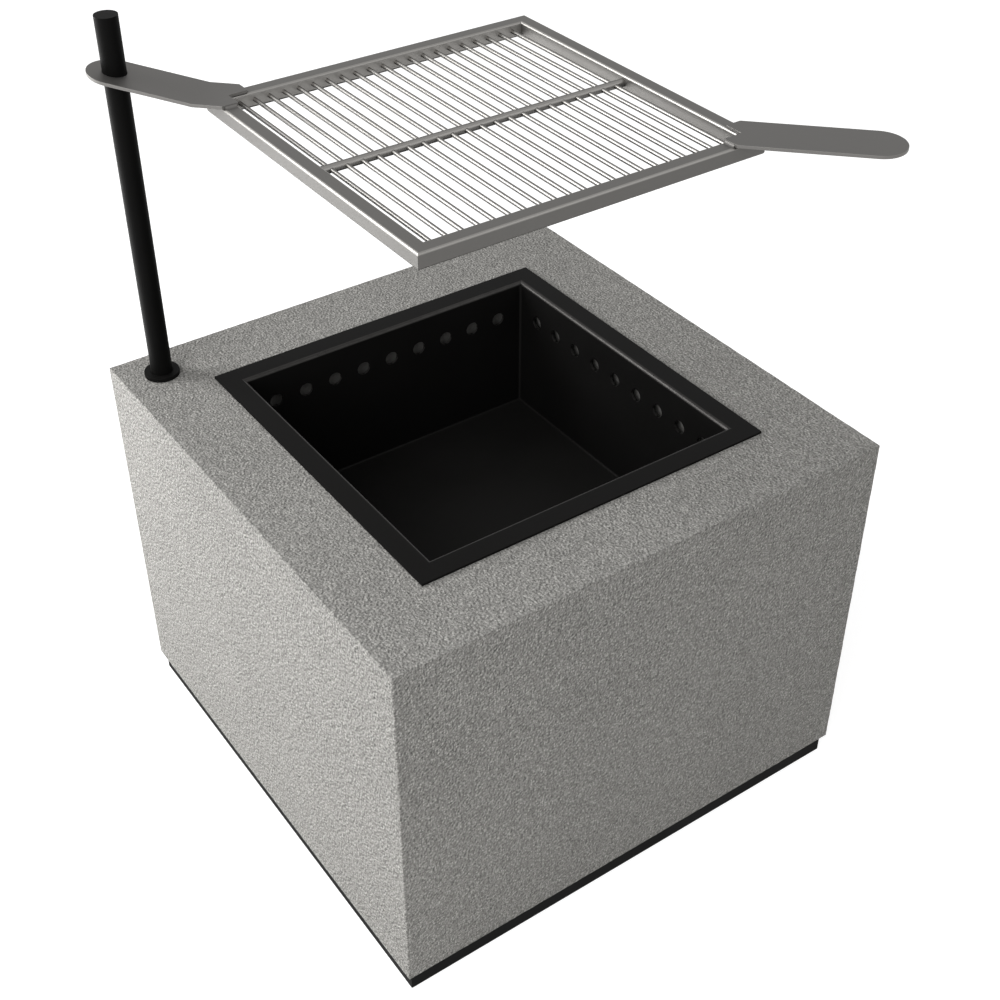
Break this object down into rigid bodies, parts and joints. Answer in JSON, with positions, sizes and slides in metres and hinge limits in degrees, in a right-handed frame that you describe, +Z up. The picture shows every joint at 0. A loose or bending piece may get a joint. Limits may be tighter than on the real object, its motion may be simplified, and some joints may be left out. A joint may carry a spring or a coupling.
{
  "type": "park barbecue pedestal",
  "caption": "Square concrete block on a recessed dark plinth with a black firebox let into its top, and a square stainless grate that swings and slides on a black post at one corner",
  "frame": {"origin": "on the ground, under the middle of the concrete block", "axes": "+Z up, -Y towards the block's front face, +X to the right of someone who faces the front; the post stands at the left back corner"},
  "size_m": [0.88, 0.88, 1.28],
  "materials": {
    "concrete": "sandblasted grey concrete with a fine even grain",
    "black_steel": "satin black powder coat",
    "firebox_black": "matt black heat-resistant coating on folded sheet",
    "zinc_steel": "zinc-plated",
    "stainless": "satin stainless steel with a fine brushed grain"
  },
  "bodies": {
    "base": {"concrete_block": "concrete", "plinth_rail_front": "black_steel", "plinth_rail_back": "black_steel", "plinth_rail_left": "black_steel", "plinth_rail_right": "black_steel", "plinth_sleeves": "zinc_steel", "plinth_bolts": "zinc_steel", "post_socket": "black_steel", "post_collar": "black_steel", "firebox_wall_front": "firebox_black", "firebox_wall_back": "firebox_black", "firebox_wall_left": "firebox_black", "firebox_wall_right": "firebox_black", "firebox_floor": "firebox_black", "firebox_spacer_fins": "firebox_black"},
    "post": {"post_tube": "black_steel", "post_cap": "black_steel"},
    "grill": {"grate_tube_front": "stainless", "grate_tube_back": "stainless", "grate_tube_left": "stainless", "grate_tube_right": "stainless", "grate_cross_bar": "stainless", "grate_rods": "stainless", "grate_arm": "stainless", "grate_handle": "stainless"}
  },
  "joints": [
    {"name": "post_swivel", "type": "hinge", "parent": "base", "child": "post", "pos_m": [-0.375, 0.375, 0.68], "axis": [0, 0, 1], "continuous": true},
    {"name": "grill_slide", "type": "slide", "parent": "post", "child": "grill", "axis": [0, 0, 1], "range_m": [-0.46, 0.08]}
  ]
}
